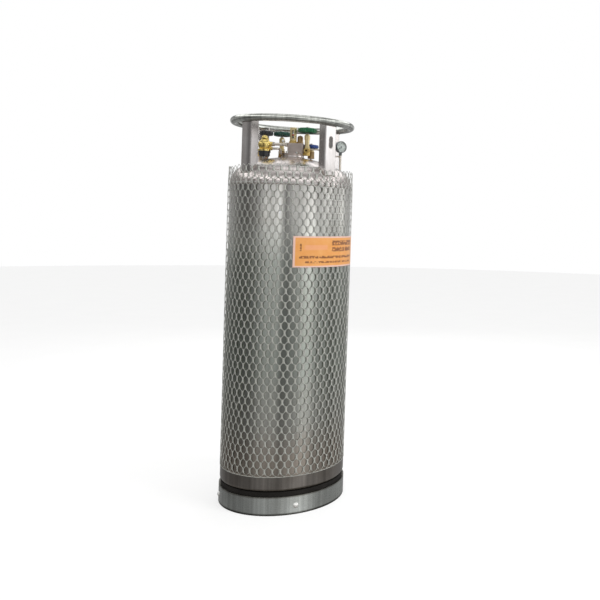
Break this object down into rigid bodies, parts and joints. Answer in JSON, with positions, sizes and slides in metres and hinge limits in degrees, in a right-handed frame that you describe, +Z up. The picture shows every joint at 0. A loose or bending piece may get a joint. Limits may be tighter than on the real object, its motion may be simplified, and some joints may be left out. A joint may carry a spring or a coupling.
{
  "type": "liquid nitrogen dewar",
  "caption": "Upright vacuum-insulated liquid nitrogen cylinder with a netted steel body, guard ring on posts, angle valves, level gauge and regulator.",
  "frame": {"origin": "centre of the foot ring, on the floor", "axes": "+Z up along the vessel axis; the front faces -Y; posts stand at 45 degrees between the axes"},
  "size_m": [0.5088, 0.5086, 1.586],
  "materials": {
    "foot_steel": "brushed, worn lower edge",
    "rubber_black": "matt",
    "fastener_steel": "bright",
    "band_steel": "brushed round the body",
    "barrel_steel": "rolled sheet, fine vertical streaks",
    "head_steel": "pressed and polished",
    "net_plastic": "translucent white netting",
    "label_card": "printed card, no lettering",
    "guard_steel": "polished tube",
    "post_steel": "brushed along the post",
    "inner_steel": "plain mill finish",
    "insulation_foil": "crinkled foil layers",
    "peg_resin": "glass-fibre resin",
    "copper_tube": "drawn copper tube",
    "collar_steel": "turned",
    "manifold_metal": "machined, pinkish reflections",
    "brass_base": "turned",
    "sight_clear": "clear tube",
    "brass_pale": "bright turned, pale",
    "float_metal": "plain",
    "spring_steel": "drawn wire",
    "marker_red": "moulded",
    "brass_body": "forged and machined",
    "brass_dull": "dull, tarnished",
    "plug_metal": "turned",
    "stem_steel": "ground",
    "wheel_green": "green paint",
    "wheel_blue": "blue paint",
    "wheel_black": "black paint",
    "wheel_teal": "dark green paint",
    "brass_bright": "polished",
    "housing_black": "moulded",
    "screw_steel": "plain",
    "bronze": "cast bronze",
    "disc_chrome": "bright",
    "case_grey": "dark grey",
    "dial_white": "printed dial",
    "needle_black": "black",
    "lens_clear": "clear",
    "pipe_steel": "bright tube"
  },
  "bodies": {
    "vessel": {"foot_ring": "foot_steel", "inner_skirt": "foot_steel", "rubber_ring": "rubber_black", "rubber_bushes": "rubber_black", "foot_bolts": "fastener_steel", "foot_nuts": "fastener_steel", "manifold_bolts": "fastener_steel", "base_band": "band_steel", "outer_barrel": "barrel_steel", "bottom_head": "barrel_steel", "top_head": "head_steel", "net_sleeve": "net_plastic", "info_label": "label_card", "guard_ring": "guard_steel", "guard_posts": "post_steel", "inner_vessel": "inner_steel", "neck_tube": "inner_steel", "liquid_dip_tube": "inner_steel", "insulation_wrap": "insulation_foil", "support_peg": "peg_resin", "pressure_coil": "copper_tube", "vaporiser_coil": "copper_tube", "neck_collar": "collar_steel", "vacuum_port": "collar_steel", "manifold_block": "manifold_metal", "gauge_base": "brass_base", "sight_tube": "sight_clear", "sight_guard": "brass_pale", "valve_bonnets": "brass_pale", "level_spring": "spring_steel", "safety_valve_spring": "spring_steel", "vent_valve_body": "brass_body", "gas_valve_body": "brass_body", "liquid_valve_body": "brass_dull", "building_valve_body": "brass_dull", "regulator_body": "brass_bright", "regulator_bonnet": "housing_black", "safety_valve_body": "bronze", "burst_disc": "disc_chrome", "gauge_case": "case_grey", "gauge_dial": "dial_white", "gauge_lens": "lens_clear", "pipework": "pipe_steel"},
    "vent_plug": {"vent_valve_plug": "plug_metal"},
    "vent_wheel": {"vent_valve_stem": "stem_steel", "vent_valve_wheel": "wheel_green"},
    "liquid_plug": {"liquid_valve_plug": "plug_metal"},
    "liquid_wheel": {"liquid_valve_stem": "stem_steel", "liquid_valve_wheel": "wheel_blue"},
    "gas_plug": {"gas_valve_plug": "plug_metal"},
    "gas_wheel": {"gas_valve_stem": "stem_steel", "gas_valve_wheel": "wheel_black"},
    "building_plug": {"building_valve_plug": "plug_metal"},
    "building_wheel": {"building_valve_stem": "stem_steel", "building_valve_wheel": "wheel_teal"},
    "level_indicator": {"level_float": "float_metal", "level_marker": "marker_red"},
    "safety_poppet": {"safety_valve_poppet": "stem_steel"},
    "adjusting_screw": {"regulator_screw": "screw_steel"},
    "pointer": {"gauge_needle": "needle_black"}
  },
  "joints": [
    {"name": "vent_valve_lift", "type": "slide", "parent": "vessel", "child": "vent_plug", "axis": [0, 0, 1], "range_m": [0, 0.005]},
    {"name": "vent_valve_turn", "type": "hinge", "parent": "vent_plug", "child": "vent_wheel", "pos_m": [0.059, -0.015, 1.47], "axis": [0, 0, 1], "range_deg": [0, 900]},
    {"name": "liquid_valve_lift", "type": "slide", "parent": "vessel", "child": "liquid_plug", "axis": [0, 0, 1], "range_m": [0, 0.005]},
    {"name": "liquid_valve_turn", "type": "hinge", "parent": "liquid_plug", "child": "liquid_wheel", "pos_m": [0.072, 0.045, 1.462], "axis": [0, 0, 1], "range_deg": [0, 900]},
    {"name": "gas_valve_lift", "type": "slide", "parent": "vessel", "child": "gas_plug", "axis": [0, 0, 1], "range_m": [0, 0.005]},
    {"name": "gas_valve_turn", "type": "hinge", "parent": "gas_plug", "child": "gas_wheel", "pos_m": [-0.115, 0.038, 1.462], "axis": [0, 0, 1], "range_deg": [0, 900]},
    {"name": "building_valve_lift", "type": "slide", "parent": "vessel", "child": "building_plug", "axis": [0, 0, 1], "range_m": [0, 0.005]},
    {"name": "building_valve_turn", "type": "hinge", "parent": "building_plug", "child": "building_wheel", "pos_m": [-0.055, 0.085, 1.462], "axis": [0, 0, 1], "range_deg": [0, 900]},
    {"name": "level_rise", "type": "slide", "parent": "vessel", "child": "level_indicator", "axis": [0, 0, 1], "range_m": [-0.014, 0.017], "deforming": ["level_spring"]},
    {"name": "safety_lift", "type": "slide", "parent": "vessel", "child": "safety_poppet", "axis": [0, 0, 1], "range_m": [0, 0.003], "stiffness_N_per_m": 20000, "deforming": ["safety_valve_spring"]},
    {"name": "regulator_adjust", "type": "hinge", "parent": "vessel", "child": "adjusting_screw", "pos_m": [-0.113, -0.02, 1.43], "axis": [0, 0, 1], "range_deg": [-180, 180]},
    {"name": "pointer_turn", "type": "hinge", "parent": "vessel", "child": "pointer", "pos_m": [0.197, 0.02, 1.487], "axis": [-0.6157, 0.788, 0], "range_deg": [0, 270]}
  ],
  "couplings": [
    {"joint": "vent_valve_lift", "follows": "vent_valve_turn", "m_per_rad": 0.00031831},
    {"joint": "liquid_valve_lift", "follows": "liquid_valve_turn", "m_per_rad": 0.00031831},
    {"joint": "gas_valve_lift", "follows": "gas_valve_turn", "m_per_rad": 0.00031831},
    {"joint": "building_valve_lift", "follows": "building_valve_turn", "m_per_rad": 0.00031831}
  ]
}
